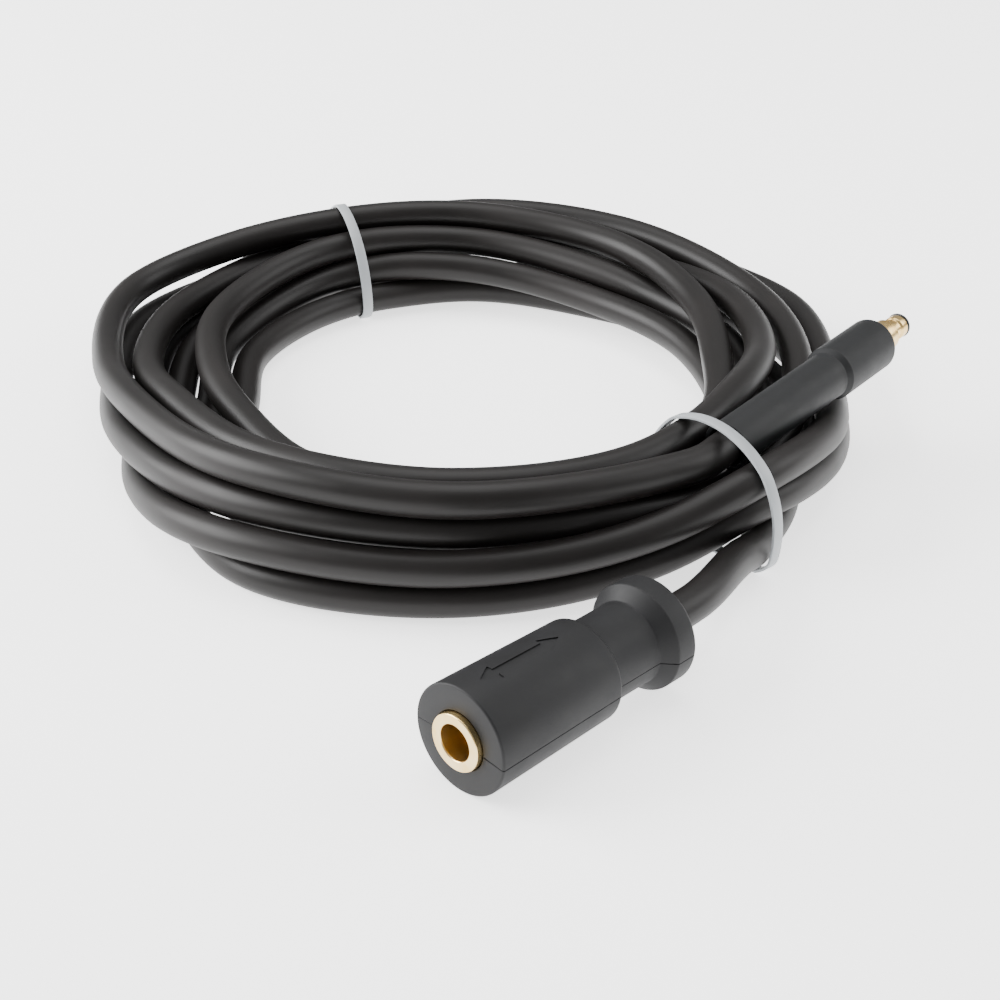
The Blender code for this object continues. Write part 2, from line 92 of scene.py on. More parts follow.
coupling = {
    "x": 0.1865,
    "mouthY": -0.185,
    "bodyDiameter": 0.0378,
    "rearDiameter": 0.0358,
    "bodyLength": 0.0552,
    "frontEdge": 0.0008,
    "shoulder": 0.0016,
    "mouthEdge": 0.0004,
    "waistCorner": 0.0006,
    "flareCorner": 0.0012,
    "rearEdge": 0.0016,
    "hoseHoleEdge": 0.0006,
    "hoseClearance": 0.0006,
    "waistDiameter": 0.0292,
    "waistLength": 0.0218,
    "flareLength": 0.0045,
    "flangeDiameter": 0.0380,
    "flangeLength": 0.0090,
    "travel": 0.008,
    "socketDiameter": 0.0196,
    "socketBore": 0.0124,
    "socketBoreDepth": 0.030,
    "socketLength": 0.046,
    "socketProud": 0.0022,
    "socketEdge": 0.0005,
    "grooveAt": 0.0125,
    "grooveSlope": 0.0003,
    "grooveLength": 0.0030,
    "grooveDepth": 0.0007,
    "boreEndShares": (0.62, 0.55),
    "boreEndSteps": (0.0040, 0.0015),
}

plugEnd = {
    "guardDiameter": 0.0190,
    "guardLength": 0.0750,
    "guardBore": 0.0152,
    "collarDiameter": 0.0220,
    "collarLength": 0.0350,
    "taperLength": 0.0035,
    "mouthDiameter": 0.0172,
    "collarStep": 0.0011,
    "collarStepCorner": 0.0010,
    "taperCorner": 0.0022,
    "endEdge": 0.0005,
    "boreStepFrom": 0.020,
    "boreStepTo": 0.024,
    "start": radians(-2.38),
    "radiusOut": 0.14634,
    "height": 0.0406,
    "heading": radians(95.58),
    "tilt": radians(2.33),
    "headDiameter": 0.0098,
    "shoulderDiameter": 0.0130,
    "shoulderLength": 0.0096,
    "neckDiameter": 0.0084,
    "neckLength": 0.0047,
    "headLength": 0.0071,
    "bore": 0.0044,
    "stemLength": 0.0300,
    "lip": 0.0008,
    "shoulderSlope": 0.0016,
    "ringThickness": 0.0016,
}

ties = {
    "width": 0.0048,
    "thickness": 0.0012,
    "gap": 0.0003,
    "slack": 0.0006,
    "headLength": 0.0072,
    "headWidth": 0.0078,
    "headHeight": 0.0048,
    "headEdge": 0.0007,
    "edge": 0.00035,
    "stubLength": 0.0026,
    "stubPast": 0.0008,
    "stubDrop": 0.0006,
    "stubNarrower": 0.0002,
    "tautness": 0.8,
    "outlinePoints": 180,
    "bulge": radians(16.0),
    "bulgeRounds": 3,
    "cornerEase": radians(5.0),
    "reach": 0.055,
    "liftReach": radians(28.0),
    "frontAngle": radians(-4.5),
    "backAngle": radians(157.3),
    "frontHead": radians(205.0),
    "backHead": radians(15.0),
}

touchingGap = 0.0003
hoseRadius = hose["diameter"] / 2
coverLength = sum(coupling[part] for part in ("bodyLength", "waistLength", "flareLength", "flangeLength"))
couplingZ = coupling["flangeDiameter"] / 2
collarEnd = plugEnd["guardLength"] + plugEnd["collarLength"] + plugEnd["taperLength"]
hoseStart = collarEnd - plugEnd["stemLength"]

# How far the solids' origin was moved from the middle of the coil
coverMiddle = (coverLow.x + coverHigh.x) / 2
shift = np.array([coverMiddle - coupling["x"], coverLow.y - coupling["mouthY"], coverLow.z])


# Small helpers

def linearColour(hexColour, alpha=1.0):
    channels = [int(hexColour[index:index + 2], 16) / 255 for index in (1, 3, 5)]
    return (*[c / 12.92 if c <= 0.04045 else ((c + 0.055) / 1.055) ** 2.4 for c in channels], alpha)


def addNode(tree, kind, settings, links):
    node = tree.nodes.new(kind)
    for key, value in settings.items():
        if isinstance(key, str) and hasattr(node, key):
            setattr(node, key, value)
        else:
            node.inputs[key].default_value = value
    for key, socket in links.items():
        tree.links.new(socket, node.inputs[key])
    return node


def newMaterial(name):
    material = bpy.data.materials.new(name)
    material.use_nodes = True
    return material, material.node_tree, material.node_tree.nodes["Principled BSDF"]


# Camera

cameraPlace = {"at": (0.5162, -0.5052, 0.3456), "heading": 134.3, "down": 28.0, "lens": 66.6}

cameraData = bpy.data.cameras.new("camera")
cameraData.sensor_width = 36.0
cameraData.lens = cameraPlace["lens"]
camera = bpy.data.objects.new("camera", cameraData)
camera.location = Vector(cameraPlace["at"]) + Vector(shift)
camera.rotation_euler = (radians(90 - cameraPlace["down"]), 0, radians(cameraPlace["heading"] - 90))
bpy.context.scene.collection.objects.link(camera)
bpy.context.scene.camera = camera
print("camera placed")


# The hose's route

def lanePoint(angle, out, up):
    radius = hose["ringRadius"] + out * hose["diameter"]
    return np.array([radius * cos(angle), radius * sin(angle), up * hose["diameter"]])


def guardAxis():
    across = plugEnd["radiusOut"]
    angle = plugEnd["start"]
    start = np.array([across * cos(angle), across * sin(angle), plugEnd["height"]])
    level = cos(plugEnd["tilt"])
    heading = plugEnd["heading"]
    return start, np.array([cos(heading) * level, sin(heading) * level, sin(plugEnd["tilt"])])


def straightRun(first, last):
    steps = int(np.ceil(np.linalg.norm(last - first) / hose["routeSpacing"]))
    return [first + (last - first) * index / steps for index in range(steps + 1)]


def controlPoints():
    start, heading = guardAxis()
    step = 2 * pi / hose["stationsPerTurn"]
    lead = straightRun(start + heading * hoseStart, start - heading * hose["diameter"])
    perTurn = hose["stationsPerTurn"]
    places = [(turn * perTurn + station, *lane)
              for turn, lanes in enumerate(hose["lanes"]) for station, lane in enumerate(lanes)]
    places += [((turn + 1) * perTurn + hose["tieStation"], *lane)
               for turn, lane in enumerate(hose["tieLanes"])]
    places += [(len(hose["lanes"]) * perTurn + station, out, up) for station, out, up in hose["tailLanes"]]
    coil = [lanePoint(hose["firstStation"] - station * step, out, up)
            for station, out, up in sorted(places)[1:]]
    rear = coupling["mouthY"] + coverLength + coupling["travel"] + hoseRadius
    hoseEnd = coupling["mouthY"] + coupling["socketLength"] + touchingGap
    run = straightRun(np.array([coupling["x"], rear, couplingZ]),
                      np.array([coupling["x"], hoseEnd, couplingZ]))
    return np.array(lead), np.array(coil), np.array(run)


def smoothThrough(control, spacing):
    chord = np.linalg.norm(np.diff(control, axis=0), axis=1)
    slope = np.diff(control, axis=0) / chord[:, None]
    weight = (chord[:-1] / (chord[:-1] + chord[1:]))[:, None]
    inner = slope[:-1] * (1 - weight) + slope[1:] * weight
    tangent = np.concatenate([slope[:1], inner, slope[-1:]])
    points = [control[0]]
    for index, length in enumerate(chord):
        steps = max(1, round(length / spacing))
        for step in range(1, steps + 1):
            t = step / steps
            points.append((2 * t ** 3 - 3 * t ** 2 + 1) * control[index]
                          + (t ** 3 - 2 * t ** 2 + t) * length * tangent[index]
                          + (3 * t ** 2 - 2 * t ** 3) * control[index + 1]
                          + (t ** 3 - t ** 2) * length * tangent[index + 1])
    return np.array(points)


def floorUnder(points):
    angles = np.arctan2(points[:, 1], points[:, 0])
    lift = np.zeros(len(points))
    for tie in (ties["frontAngle"], ties["backAngle"]):
        away = np.abs((angles - tie + pi) % (2 * pi) - pi)
        near = np.clip(1 - away / ties["liftReach"], 0, 1)
        lift = np.maximum(lift, near * near * (3 - 2 * near))
    return hoseRadius + lift * (ties["thickness"] + ties["gap"] + ties["slack"])


def settle(points, reach, held):
    # pushes apart what lies closer than the hose is thick, and keeps it above the floor
    start = points.copy()
    diameter = hose["diameter"]
    spacing = np.linalg.norm(np.diff(points, axis=0), axis=1).max()
    distance = np.linalg.norm(points[:, None] - points[None], axis=2)
    apartAlong = round(hose["ownReach"] * diameter / spacing)
    close = np.triu(distance < hose["nearReach"] * diameter + spacing, k=apartAlong)
    first, second = np.nonzero(close)
    free = 1.0 - held
    share = np.maximum(free[first] + free[second], 1.0)
    for _ in range(hose["settleRounds"]):
        tangent = np.gradient(points, axis=0)
        tangent /= np.linalg.norm(tangent, axis=1)[:, None]
        along = tangent[first] + tangent[second]
        along /= np.linalg.norm(along, axis=1)[:, None]
        apart = points[first] - points[second]
        offset = (apart * along).sum(axis=1)
        apart -= offset[:, None] * along
        size = np.maximum(np.linalg.norm(apart, axis=1), 1e-9)
        lack = np.clip(reach[first] + reach[second] + hose["turnGap"] - size, 0, None)
        lack[np.abs(offset) > hose["besideShare"] * spacing] = 0
        step = apart / size[:, None] * lack[:, None] * hose["settleStep"]
        push = np.zeros_like(points)
        np.add.at(push, first, step * (free[first] / share)[:, None])
        np.add.at(push, second, -step * (free[second] / share)[:, None])
        moved = points + push - start
        moved[1:-1] += (moved[:-2] + moved[2:] - 2 * moved[1:-1]) * hose["settleSmoothing"]
        points = start + moved * free[:, None]
        raised = np.maximum(points[:, 2], floorUnder(points))
        points[:, 2] = np.where(held > 0, points[:, 2], raised)
    return points


def hoseRoute():
    lead, coil, run = controlPoints()
    points = smoothThrough(np.concatenate([lead, coil, run]), hose["routeSpacing"])
    held = np.zeros(len(points))
    held[:len(lead)] = 1
    held[-len(run):] = 1
    start, heading = guardAxis()
    along = (lead - start) @ heading
    reach = np.full(len(points), hoseRadius)
    inCollar = along > plugEnd["guardLength"] - 2 * hose["routeSpacing"]
    reach[:len(lead)] = np.where(inCollar, plugEnd["collarDiameter"] / 2, plugEnd["guardDiameter"] / 2)
    return settle(points, reach, held)


route = hoseRoute()
fineRoute = smoothThrough(route, hose["routeSpacing"] / hose["pointsPerStep"]) + shift
fineLength = float(np.linalg.norm(np.diff(fineRoute, axis=0), axis=1).sum())
print("hose route:", len(fineRoute), "points,", round(fineLength, 3), "m")


# Materials

def rubberHoseCover():
    # Extruded nitrile rubber cover: satin, a little brown in its black, with faint lengthwise drawing
    # lines and dull patches where it has been handled
    material, tree, shader = newMaterial("extruded_rubber")
    place = addNode(tree, "ShaderNodeUVMap", {"uv_map": "alongHose"}, {})
    # the map is in millimetres: around the hose, then along it
    stretched = addNode(tree, "ShaderNodeMapping", {"Scale": (1 / 0.9, 1 / 14.0, 1.0)},
                        {"Vector": place.outputs["UV"]})
    lines = addNode(tree, "ShaderNodeTexNoise", {"Scale": 1.0, "Detail": 3.0, "Roughness": 0.6},
                    {"Vector": stretched.outputs["Vector"]})
    spot = addNode(tree, "ShaderNodeTexCoord", {}, {})
    grain = addNode(tree, "ShaderNodeTexNoise", {"Scale": 1 / 0.0005, "Detail": 2.0, "Roughness": 0.55},
                    {"Vector": spot.outputs["Object"]})
    patches = addNode(tree, "ShaderNodeTexNoise", {"Scale": 1 / 0.045, "Detail": 4.0, "Roughness": 0.55},
                      {"Vector": spot.outputs["Object"]})
    tone = addNode(tree, "ShaderNodeValToRGB", {}, {"Fac": patches.outputs["Fac"]})
    tone.color_ramp.elements[0].position = 0.35
    tone.color_ramp.elements[0].color = linearColour("#12100f")
    tone.color_ramp.elements[1].position = 0.7
    tone.color_ramp.elements[1].color = linearColour("#191615")
    sheen = addNode(tree, "ShaderNodeMapRange",
                    {"From Min": 0.3, "From Max": 0.75, "To Min": 0.40, "To Max": 0.50},
                    {"Value": patches.outputs["Fac"]})
    fine = addNode(tree, "ShaderNodeBump", {"Strength": 0.10, "Distance": 0.00006},
                   {"Height": grain.outputs["Fac"]})
    drawn = addNode(tree, "ShaderNodeBump", {"Strength": 0.12, "Distance": 0.0002},
                    {"Height": lines.outputs["Fac"], "Normal": fine.outputs["Normal"]})
    shader.inputs["IOR"].default_value = 1.52
    shader.inputs["Specular IOR Level"].default_value = 0.25
    tree.links.new(tone.outputs["Color"], shader.inputs["Base Color"])
    tree.links.new(sheen.outputs["Result"], shader.inputs["Roughness"])
    tree.links.new(drawn.outputs["Normal"], shader.inputs["Normal"])
    return material


def mouldedRubber(name, hexColour, lightColour):
    # Compression-moulded rubber from a spark-eroded mould: matte, even, with a grain of about 0.4 mm
    material, tree, shader = newMaterial(name)
    spot = addNode(tree, "ShaderNodeTexCoord", {}, {})
    grain = addNode(tree, "ShaderNodeTexNoise", {"Scale": 1 / 0.0004, "Detail": 3.0, "Roughness": 0.6},
                    {"Vector": spot.outputs["Object"]})
    bloom = addNode(tree, "ShaderNodeTexNoise", {"Scale": 1 / 0.012, "Detail": 5.0, "Roughness": 0.6},
                    {"Vector": spot.outputs["Object"]})
    tone = addNode(tree, "ShaderNodeValToRGB", {}, {"Fac": bloom.outputs["Fac"]})
    tone.color_ramp.elements[0].position = 0.35
    tone.color_ramp.elements[0].color = linearColour(hexColour)
    tone.color_ramp.elements[1].position = 0.72
    tone.color_ramp.elements[1].color = linearColour(lightColour)
    dull = addNode(tree, "ShaderNodeMapRange",
                   {"From Min": 0.3, "From Max": 0.75, "To Min": 0.52, "To Max": 0.64},
                   {"Value": bloom.outputs["Fac"]})
    bump = addNode(tree, "ShaderNodeBump", {"Strength": 0.18, "Distance": 0.00008},
                   {"Height": grain.outputs["Fac"]})
    shader.inputs["IOR"].default_value = 1.52
    shader.inputs["Specular IOR Level"].default_value = 0.28
    tree.links.new(tone.outputs["Color"], shader.inputs["Base Color"])
    tree.links.new(dull.outputs["Result"], shader.inputs["Roughness"])
    tree.links.new(bump.outputs["Normal"], shader.inputs["Normal"])
    return material


def turnedBrass(name, hexColour, darkColour, roughness):
    # Free-cutting brass, turned on a lathe: tool marks run round it, drawn at 0.25 mm so that they show
    material, tree, shader = newMaterial(name)
    place = addNode(tree, "ShaderNodeUVMap", {"uv_map": "turned"}, {})
    # the map is in millimetres: round the piece, then along its profile
    stretched = addNode(tree, "ShaderNodeMapping", {"Scale": (1 / 30.0, 1 / 0.25, 1.0)},
                        {"Vector": place.outputs["UV"]})
    marks = addNode(tree, "ShaderNodeTexNoise", {"Scale": 1.0, "Detail": 2.0, "Roughness": 0.5},
                    {"Vector": stretched.outputs["Vector"]})
    spot = addNode(tree, "ShaderNodeTexCoord", {}, {})
    tarnish = addNode(tree, "ShaderNodeTexNoise", {"Scale": 1 / 0.006, "Detail": 3.0, "Roughness": 0.5},
                      {"Vector": spot.outputs["Object"]})
    tone = addNode(tree, "ShaderNodeValToRGB", {}, {"Fac": tarnish.outputs["Fac"]})
    tone.color_ramp.elements[0].position = 0.3
    tone.color_ramp.elements[0].color = linearColour(hexColour)
    tone.color_ramp.elements[1].position = 0.75
    tone.color_ramp.elements[1].color = linearColour(darkColour)
    bump = addNode(tree, "ShaderNodeBump", {"Strength": 0.15, "Distance": 0.00003},
                   {"Height": marks.outputs["Fac"]})
    shader.inputs["Metallic"].default_value = 1.0
    shader.inputs["Roughness"].default_value = roughness
    tree.links.new(tone.outputs["Color"], shader.inputs["Base Color"])
    tree.links.new(bump.outputs["Normal"], shader.inputs["Normal"])
    return material


def nitrileRing():
    # Moulded nitrile: black, oiled, nearly smooth
    material, tree, shader = newMaterial("moulded_nitrile")
    spot = addNode(tree, "ShaderNodeTexCoord", {}, {})
    grain = addNode(tree, "ShaderNodeTexNoise", {"Scale": 1 / 0.0003, "Detail": 2.0},
                    {"Vector": spot.outputs["Object"]})
    bump = addNode(tree, "ShaderNodeBump", {"Strength": 0.1, "Distance": 0.00003},
                   {"Height": grain.outputs["Fac"]})
    shader.inputs["Base Color"].default_value = linearColour("#161515")
    shader.inputs["Roughness"].default_value = 0.34
    shader.inputs["IOR"].default_value = 1.52
    tree.links.new(bump.outputs["Normal"], shader.inputs["Normal"])
    return material


def naturalNylon():
    # Moulded natural nylon: milky, light passes a little way into it, and its skin is smooth
    material, tree, shader = newMaterial("natural_nylon")
    spot = addNode(tree, "ShaderNodeTexCoord", {}, {})
    flow = addNode(tree, "ShaderNodeTexNoise", {"Scale": 1 / 0.004, "Detail": 2.0},
                   {"Vector": spot.outputs["Object"]})
    bump = addNode(tree, "ShaderNodeBump", {"Strength": 0.15, "Distance": 0.00008},
                   {"Height": flow.outputs["Fac"]})
    shader.inputs["Base Color"].default_value = linearColour("#a3a7aa")
    shader.inputs["Roughness"].default_value = 0.38
    shader.inputs["IOR"].default_value = 1.53
    shader.inputs["Subsurface Weight"].default_value = 0.35
    shader.inputs["Subsurface Radius"].default_value = (1.0, 1.0, 1.0)
    shader.inputs["Subsurface Scale"].default_value = 0.0015
    tree.links.new(bump.outputs["Normal"], shader.inputs["Normal"])
    return material


hoseRubber = rubberHoseCover()
coverRubber = mouldedRubber("moulded_cover_rubber", "#121213", "#18181a")
guardRubber = mouldedRubber("moulded_guard_rubber", "#111213", "#17181a")
socketBrass = turnedBrass("turned_socket_brass", "#f0d9a4", "#e2bf7a", 0.26)
plugBrass = turnedBrass("turned_plug_brass", "#ecd096", "#dcb266", 0.26)
ringRubber = nitrileRing()
tieNylon = naturalNylon()
print("materials made")


# Shapes

def addMesh(name, vertices, faces, material, uvName, uvs):
    mesh = bpy.data.meshes.new(name)
    mesh.from_pydata([tuple(v) for v in vertices], [], faces)
    layer = mesh.uv_layers.new(name=uvName)
    layer.data.foreach_set("uv", np.array(uvs, np.float32).ravel())
    mesh.materials.append(material)
    mesh.shade_smooth()
    piece = bpy.data.objects.new(name, mesh)
    bpy.context.scene.collection.objects.link(piece)
    return piece


def carriedFrames(points):
    # one direction carried along the line without twisting, and the one square to it
    tangent = np.gradient(points, axis=0)
    tangent /= np.linalg.norm(tangent, axis=1)[:, None]
    side = np.cross(tangent[0], (0, 0, 1.0))
    side /= np.linalg.norm(side)
    sides = [side]
    for index in range(1, len(points)):
        side = sides[-1] - tangent[index] * (sides[-1] @ tangent[index])
        sides.append(side / np.linalg.norm(side))
    sides = np.array(sides)
    return sides, np.cross(sides, tangent)


def tube(name, points, radius, sides, material, uvName):
    across, upward = carriedFrames(points)
    turn = np.linspace(0, 2 * pi, sides, endpoint=False)
    cosines, sines = np.cos(turn)[None, :, None], np.sin(turn)[None, :, None]
    ring = radius * (cosines * across[:, None] + sines * upward[:, None])
    vertices = (points[:, None] + ring).reshape(-1, 3)
    along = np.concatenate([[0], np.cumsum(np.linalg.norm(np.diff(points, axis=0), axis=1))]) * 1000
    around = np.arange(sides + 1) * 2 * pi * radius * 1000 / sides
    faces = []
    uvs = []
    for row in range(len(points) - 1):
        for column in range(sides):
            nextColumn = (column + 1) % sides
            faces.append((row * sides + column, row * sides + nextColumn,
                          (row + 1) * sides + nextColumn, (row + 1) * sides + column))
            uvs += [(around[column], along[row]), (around[column + 1], along[row]),
                    (around[column + 1], along[row + 1]), (around[column], along[row + 1])]
    for row, order in ((0, 1), (len(points) - 1, -1)):
        cap = [row * sides + column for column in range(sides)]
        faces.append(tuple(cap[::-order]))
        uvs += [(0.0, along[row])] * sides
    return addMesh(name, vertices, faces, material, uvName, uvs)


hosePiece = tube("hose_dressed", fineRoute, hoseRadius, hose["sides"], hoseRubber, "alongHose")
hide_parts("hose")
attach(hosePiece, hoseBody)
print("hose made")


def rounded(corners, steps=5):
    # rounds the corners of a closed profile: each corner is (radius, height, rounding)
    points = []
    count = len(corners)
    for index, (radius, height, rounding) in enumerate(corners):
        here = np.array([radius, height])
        before = np.array(corners[index - 1][:2]) - here
        after = np.array(corners[(index + 1) % count][:2]) - here
        if rounding <= 0:
            points.append(here)
            continue
        before /= np.linalg.norm(before)
        after /= np.linalg.norm(after)
        between = acos(max(-1.0, min(1.0, float(before @ after))))
        reach = rounding / tan(between / 2)
        middle = here + (before + after) / np.linalg.norm(before + after) * rounding / sin(between / 2)
        first = here + before * reach - middle
        last = here + after * reach - middle
        turnFirst = atan2(first[1], first[0])
        sweep = (atan2(last[1], last[0]) - turnFirst + pi) % (2 * pi) - pi
        for step in range(steps + 1):
            turn = turnFirst + sweep * step / steps
            points.append(middle + rounding * np.array([cos(turn), sin(turn)]))
    return np.array(points)


def turnedPiece(name, profile, turns, start, heading, material, closed=True):
    # turns the profile round the axis, from its far end down its outer side; turns lists the columns' angles
    up = Vector(heading).normalized()
    side = Vector((0, 0, 1)).cross(up).normalized()
    lift = up.cross(side)
    basis = np.array([side, lift, up])
    count = len(turns)
    rows = len(profile)
    ring = np.stack([np.cos(turns), np.sin(turns)], 1)
    local = np.zeros((rows, count, 3))
    local[:, :, :2] = profile[:, 0][:, None, None] * ring[None]
    local[:, :, 2] = profile[:, 1][:, None]
    vertices = (local.reshape(-1, 3) @ basis) + np.array(start)
    loop = np.concatenate([profile, profile[:1]])
    along = np.concatenate([[0], np.cumsum(np.linalg.norm(np.diff(loop, axis=0), axis=1))]) * 1000
    spread = float(profile[:, 0].max()) * 1000
    ends = np.concatenate([turns, [turns[0] + 2 * pi]])
    faces = []
    uvs = []
    for row in range(rows if closed else rows - 1):
        nextRow = (row + 1) % rows
        for column in range(count):
            nextColumn = (column + 1) % count
            faces.append((row * count + column, nextRow * count + column,
                          nextRow * count + nextColumn, row * count + nextColumn))
            u, v = ends[column] * spread, ends[column + 1] * spread
            uvs += [(u, along[row]), (u, along[row + 1]), (v, along[row + 1]), (v, along[row])]
    piece = addMesh(name, vertices, faces, material, "turned", uvs)
    work = bmesh.new()
    work.from_mesh(piece.data)
    bmesh.ops.remove_doubles(work, verts=work.verts, dist=0.000001)
    bmesh.ops.recalc_face_normals(work, faces=work.faces)
    work.to_mesh(piece.data)
    work.free()
    return piece


def evenTurns(count):
    return np.linspace(0, 2 * pi, count, endpoint=False)


def turnsWithGrooves(count, grooves, halfWidth, radius):
    # even columns, with finer ones where a narrow groove runs lengthwise
    half = halfWidth / radius
    extra = [groove + offset * half for groove in grooves for offset in (-2, -1, -0.35, 0.35, 1, 2)]
    spread = [turn for turn in evenTurns(count)
              if all(abs((turn - groove + pi) % (2 * pi) - pi) > 3 * half for groove in grooves)]
    return np.sort(np.array(spread + [value % (2 * pi) for value in extra]))


# The coupling's cover

coverMarks = {
    "partingTurns": (radians(0.0), radians(186.5)),
    "partingHalfWidth": 0.00022,
    "partingDepth": 0.00030,
    "arrowTurn": radians(87.0),
    "arrowFrom": 0.0080,
    "arrowTo": 0.0428,
    "arrowShaft": 0.0030,
    "arrowHeadLength": 0.0068,
    "arrowHeadWidth": 0.0078,
    "arrowDepth": 0.00045,
}

couplingStart = np.array([coupling["x"], coupling["mouthY"], couplingZ]) + shift
couplingHeading = (0, 1, 0)


def coverProfile():
    body = coupling["bodyDiameter"] / 2
    rear = coupling["rearDiameter"] / 2
    waist = coupling["waistDiameter"] / 2
    flange = coupling["flangeDiameter"] / 2
    hole = hoseRadius + coupling["hoseClearance"]
    bore = coupling["socketDiameter"] / 2 + touchingGap
    step = coupling["socketLength"] + touchingGap
    waistEnd = coupling["bodyLength"] + coupling["waistLength"]
    flangeStart = waistEnd + coupling["flareLength"]
    return rounded([
        (hole, coverLength, coupling["hoseHoleEdge"]), (flange, coverLength, coupling["rearEdge"]),
        (flange, flangeStart, coupling["flareCorner"]), (waist, waistEnd, coupling["flareCorner"]),
        (waist, coupling["bodyLength"], coupling["waistCorner"]),
        (rear, coupling["bodyLength"], coupling["shoulder"]), (body, 0.0, coupling["frontEdge"]),
        (bore, 0.0, coupling["mouthEdge"]), (bore, step, 0.0), (hole, step, 0.0),
    ])


def sunkAlong(piece, start, heading, grooves, halfWidth, depth):
    # sinks the parting line: every vertex near a groove's plane moves towards the axis or into the face
    up = np.array(Vector(heading).normalized())
    side = np.array(Vector((0, 0, 1)).cross(Vector(heading)).normalized())
    lift = np.cross(up, side)
    for vertex, normal in zip(piece.data.vertices, [Vector(n.vector) for n in piece.data.vertex_normals]):
        local = np.array(vertex.co) - start
        x, y = local @ side, local @ lift
        radius = sqrt(x * x + y * y)
        turn = atan2(y, x)
        away = min(abs((turn - groove + pi) % (2 * pi) - pi) for groove in grooves) * radius
        if away < halfWidth * 0.6:
            vertex.co -= normal * depth
    piece.data.update()


partings = coverMarks["partingTurns"]
coverTurns = turnsWithGrooves(192, partings, coverMarks["partingHalfWidth"], coupling["bodyDiameter"] / 2)
cover = turnedPiece("coupling_cover_dressed", coverProfile(), coverTurns, couplingStart, couplingHeading,
                    coverRubber)
sunkAlong(cover, couplingStart, couplingHeading, partings, coverMarks["partingHalfWidth"],
          coverMarks["partingDepth"])


def arrowOutline():
    first, last = coverMarks["arrowFrom"], coverMarks["arrowTo"]
    head = coverMarks["arrowHeadLength"]
    half, shaft = coverMarks["arrowHeadWidth"] / 2, coverMarks["arrowShaft"] / 2
    return [(first, 0.0), (first + head, half), (first + head, shaft), (last - head, shaft),
            (last - head, half), (last, 0.0), (last - head, -half), (last - head, -shaft),
            (first + head, -shaft), (first + head, -half)]


def cutArrow(target):
    # a double-headed arrow sunk into the upper side, along the axis
    body = coupling["bodyDiameter"] / 2
    outline = []
    corners = arrowOutline()
    for index, corner in enumerate(corners):
        following = corners[(index + 1) % len(corners)]
        for step in range(4):
            part = step / 4
            outline.append([a + (b - a) * part for a, b in zip(corner, following)])
    work = bmesh.new()
    rings = []
    narrowing = (coupling["bodyDiameter"] - coupling["rearDiameter"]) / 2 / coupling["bodyLength"]
    for above in (-coverMarks["arrowDepth"], 0.002):
        ring = []
        for along, across in outline:
            radius = body - narrowing * along + above
            turn = coverMarks["arrowTurn"] + across / body
            place = couplingStart + np.array([cos(turn) * radius, along, sin(turn) * radius])
            ring.append(work.verts.new(place))
        rings.append(ring)
    for index in range(len(outline)):
        following = (index + 1) % len(outline)
        work.faces.new((rings[0][index], rings[0][following], rings[1][following], rings[1][index]))
    for ring in rings:
        work.faces.new(ring)
    bmesh.ops.recalc_face_normals(work, faces=work.faces)
    bmesh.ops.triangulate(work, faces=[face for face in work.faces if len(face.verts) > 4])
    mesh = bpy.data.meshes.new("arrow_cutter")
    work.to_mesh(mesh)
    work.free()
    cutter = bpy.data.objects.new("arrow_cutter", mesh)
    bpy.context.scene.collection.objects.link(cutter)
    cut = target.modifiers.new("arrow", "BOOLEAN")
    cut.operation = "DIFFERENCE"
    cut.solver = "EXACT"
    cut.object = cutter
    graph = bpy.context.evaluated_depsgraph_get()
    mesh = bpy.data.meshes.new_from_object(target.evaluated_get(graph))
    target.modifiers.clear()
    target.data = mesh
    bpy.data.objects.remove(cutter)


cutArrow(cover)
cover.data.shade_smooth()
cover.data.set_sharp_from_angle(angle=radians(35))
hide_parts("coupling_cover")
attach(cover, coverBody)
print("coupling cover made")


# The brass socket

def socketProfile():
    outer = coupling["socketDiameter"] / 2
    bore = coupling["socketBore"] / 2
    front = -coupling["socketProud"]
    depth = coupling["socketBoreDepth"]
    groove = bore + coupling["grooveDepth"]
    grooveFrom = coupling["grooveAt"]
    grooveTo = grooveFrom + coupling["grooveLength"]
    slope = coupling["grooveSlope"]
    narrow, narrower = [bore * share for share in coupling["boreEndShares"]]
    firstStep, lastStep = [depth - step for step in coupling["boreEndSteps"]]
    return rounded([
        (0.0, coupling["socketLength"], 0.0), (outer, coupling["socketLength"], 0.0004),
        (outer, front, coupling["socketEdge"]), (bore, front, 0.0006), (bore, grooveFrom, 0.0),
        (groove, grooveFrom + slope, 0.0), (groove, grooveTo - slope, 0.0), (bore, grooveTo, 0.0),
        (bore, firstStep, 0.0003), (narrow, lastStep, 0.0003), (narrower, depth, 0.0), (0.0, depth, 0.0),
    ])


socket = turnedPiece("brass_socket_dressed", socketProfile(), evenTurns(128), couplingStart, couplingHeading,
                     socketBrass, closed=False)
socket.data.set_sharp_from_angle(angle=radians(35))
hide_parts("brass_socket")
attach(socket, hoseBody)
print("brass socket made")


# The plug end: bend guard, brass plug, O-ring

guardStart, guardHeading = guardAxis()
guardStart = guardStart + shift
plugTip = collarEnd + touchingGap + plugEnd["shoulderLength"] + plugEnd["neckLength"] + plugEnd["headLength"]
ringRadius = plugEnd["headDiameter"] / 2 + touchingGap - plugEnd["ringThickness"] / 2
ringAlong = plugTip - plugEnd["lip"] - touchingGap - plugEnd["ringThickness"] / 2


